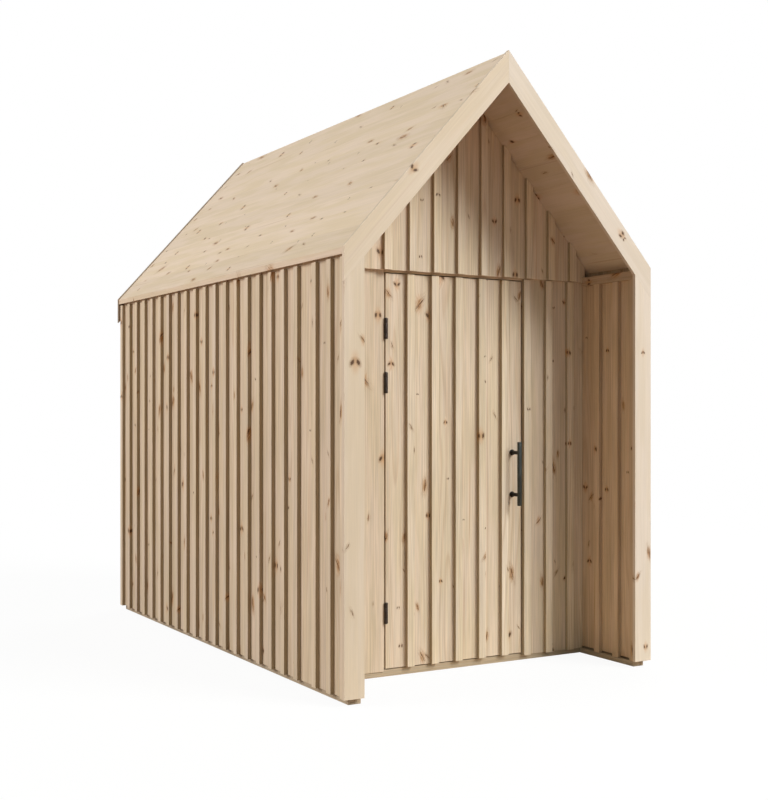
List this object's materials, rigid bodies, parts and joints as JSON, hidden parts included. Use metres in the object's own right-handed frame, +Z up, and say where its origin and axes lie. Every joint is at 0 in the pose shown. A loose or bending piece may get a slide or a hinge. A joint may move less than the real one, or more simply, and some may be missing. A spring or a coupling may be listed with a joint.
{
  "type": "wooden garden shed",
  "caption": "Gabled garden shed with board-and-batten timber walls, boarded roof, recessed porch front and a hinged boarded door with a bar pull.",
  "frame": {"origin": "on the ground, under the middle of the shed's outer box", "axes": "+Z up, the porch and door face -Y, +X to the right seen from the porch"},
  "size_m": [1.8, 3.2, 3.062],
  "materials": {
    "wall_boards": "sawn, untreated softwood",
    "battens": "planed, untreated softwood",
    "trim_boards": "planed, untreated softwood",
    "roof_boards": "planed, untreated softwood",
    "floor_boards": "planed, untreated softwood",
    "frame_timber": "planed, untreated softwood",
    "base_timber": "sawn softwood, a little greyed",
    "hinge_steel": "satin black",
    "handle_steel": "satin dark grey"
  },
  "bodies": {
    "shed": {"right_sill": "base_timber", "left_sill": "base_timber", "front_sill": "base_timber", "rear_sill": "base_timber", "floor_bearers": "base_timber", "floor": "floor_boards", "right_wall": "wall_boards", "left_wall": "wall_boards", "right_wall_battens": "battens", "left_wall_battens": "battens", "right_porch_rail": "frame_timber", "left_porch_rail": "frame_timber", "right_porch_battens": "battens", "left_porch_battens": "battens", "front_wall_left": "wall_boards", "front_wall_right": "wall_boards", "front_wall_head": "wall_boards", "front_gable": "wall_boards", "front_gable_battens": "battens", "front_wall_battens": "battens", "rear_wall": "wall_boards", "rear_wall_battens": "battens", "door_jamb_left": "frame_timber", "door_jamb_right": "frame_timber", "door_head": "frame_timber", "roof_right": "roof_boards", "roof_left": "roof_boards", "front_rake_right": "trim_boards", "front_rake_left": "trim_boards", "front_post_right": "trim_boards", "front_post_left": "trim_boards", "rear_rake_right": "trim_boards", "rear_rake_left": "trim_boards", "hinge_frame_leaves": "hinge_steel"},
    "door": {"door_leaf": "wall_boards", "door_battens": "battens", "hinge_door_leaves": "hinge_steel", "door_handle": "handle_steel"}
  },
  "joints": [
    {"name": "door_hinge", "type": "hinge", "parent": "shed", "child": "door", "pos_m": [-0.417, -1.138, 0], "axis": [0, 0, -1], "range_deg": [0, 115]}
  ]
}
